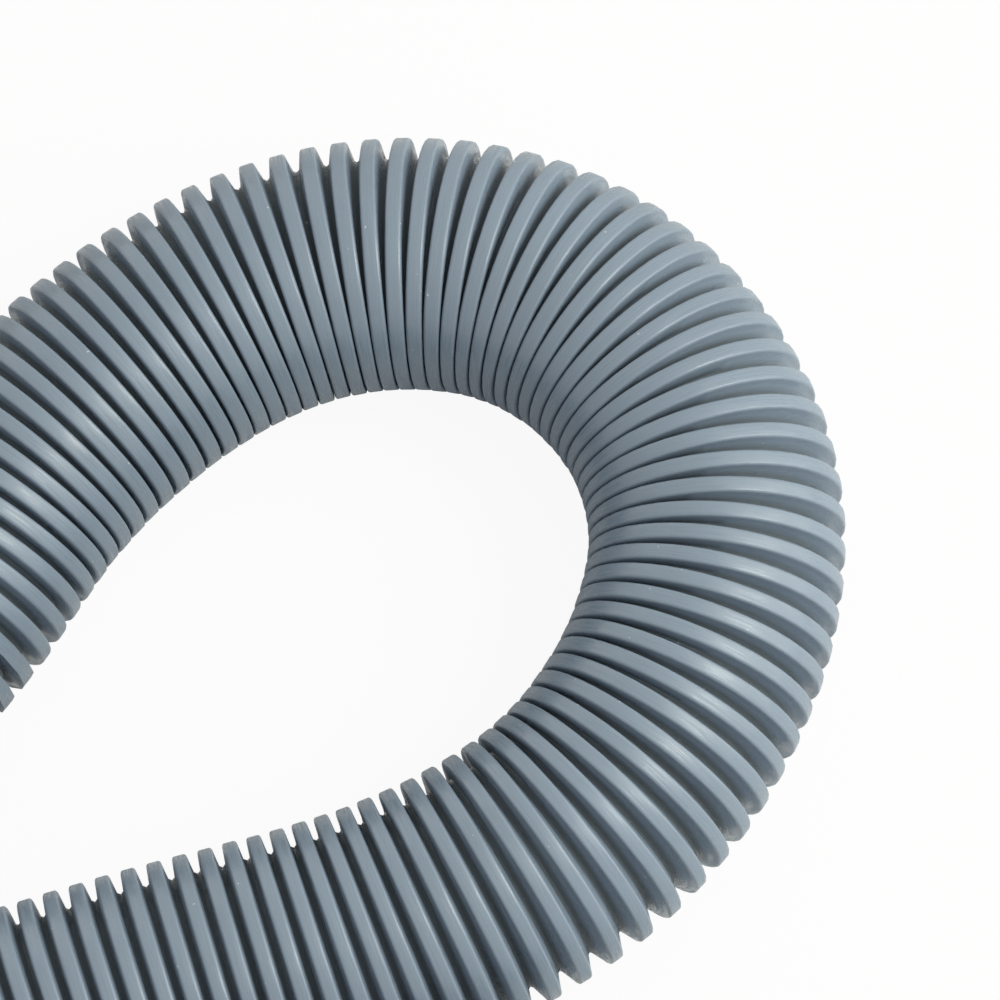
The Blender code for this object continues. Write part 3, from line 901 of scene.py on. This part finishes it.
def light_world(scene, fill):
    """Even white light from all round, and a white background."""
    world = bpy.data.worlds.new("studio")
    world.use_nodes = True
    scene.world = world
    tree = world.node_tree
    background = tree.nodes["Background"]
    background.inputs["Color"].default_value = (1.0, 1.0, 1.0, 1.0)
    tree.links.new(white_to_camera(tree, fill, 1.0), background.inputs["Strength"])


def floor_paint(color):
    """A plain pale floor that shows white to the camera and still takes the object's shadow."""
    material, tree, shader = new_material("floor_paint")
    place = node(tree, "ShaderNodeTexCoord").outputs["Object"]
    paint = shaded(tree, tuple(color), spread(tree, noise(tree, place, scale=3.0), 0.99, 1.01))
    tree.links.new(paint, shader.inputs["Base Color"])
    shader.inputs["Roughness"].default_value = 0.9
    glow = node(tree, "ShaderNodeEmission", {"Color": (1.0, 1.0, 1.0, 1.0), "Strength": 1.0})
    camera = node(tree, "ShaderNodeLightPath").outputs["Is Camera Ray"]
    share = math_node(tree, "MULTIPLY", camera, FLOOR_SEEN_WHITE)
    surface = node(tree, "ShaderNodeMixShader", {0: share, 1: shader.outputs[0], 2: glow.outputs[0]})
    tree.links.new(surface.outputs[0], tree.nodes["Material Output"].inputs["Surface"])
    return material


class DRAINHOSE_OT_stage(bpy.types.Operator):
    """Makes the camera, the lamps, the world and the floor."""

    bl_idname = "drain_hose.stage"
    bl_label = "Stage"

    def execute(self, context):
        scene = context.scene
        settings = scene.drain_hose
        scene.view_settings.view_transform = "Standard"
        add_camera(scene)
        light_world(scene, settings.fill)
        for name, (aim, direction, distance, size, power) in LAMPS.items():
            softbox(name, aim, direction, distance, size, getattr(settings, power))
        corners = FLOOR_HALF * np.array([(-1, -1, 0), (1, -1, 0), (1, 1, 0), (-1, 1, 0)])
        mesh = new_mesh("floor", corners, [np.array([[0, 1, 2, 3]])], floor_paint(settings.floor_color))
        floor = bpy.data.objects.new("floor", mesh)
        scene.collection.objects.link(floor)
        return {"FINISHED"}


class DRAINHOSE_PT_panel(bpy.types.Panel):
    """Lists the sizes and colours, and a button for each piece."""

    bl_idname = "DRAINHOSE_PT_panel"
    bl_label = "Drain Hose"
    bl_space_type = "VIEW_3D"
    bl_region_type = "UI"
    bl_category = "Drain Hose"

    def draw(self, context):
        settings = context.scene.drain_hose
        for name in settings.bl_rna.properties.keys():
            if name not in ("rna_type", "name"):
                self.layout.prop(settings, name)
        for operator in OPERATORS:
            self.layout.operator(operator.bl_idname)


OPERATORS = (DRAINHOSE_OT_stage, DRAINHOSE_OT_cuffs, DRAINHOSE_OT_ties, DRAINHOSE_OT_hose)
CLASSES = (DRAINHOSE_PG_settings, *OPERATORS, DRAINHOSE_PT_panel)


def register():
    """Registers the classes and gives the scene its settings."""
    for kind in CLASSES:
        bpy.utils.register_class(kind)
    bpy.types.Scene.drain_hose = PointerProperty(type=DRAINHOSE_PG_settings)


def unregister():
    """Takes the settings and the classes away again."""
    del bpy.types.Scene.drain_hose
    for kind in reversed(CLASSES):
        bpy.utils.unregister_class(kind)


def main():
    """Makes the stage and every piece."""
    register()
    bpy.ops.drain_hose.stage()
    bpy.ops.drain_hose.cuffs()
    bpy.ops.drain_hose.ties()
    bpy.ops.drain_hose.hose()


if __name__ == "__main__":
    main()
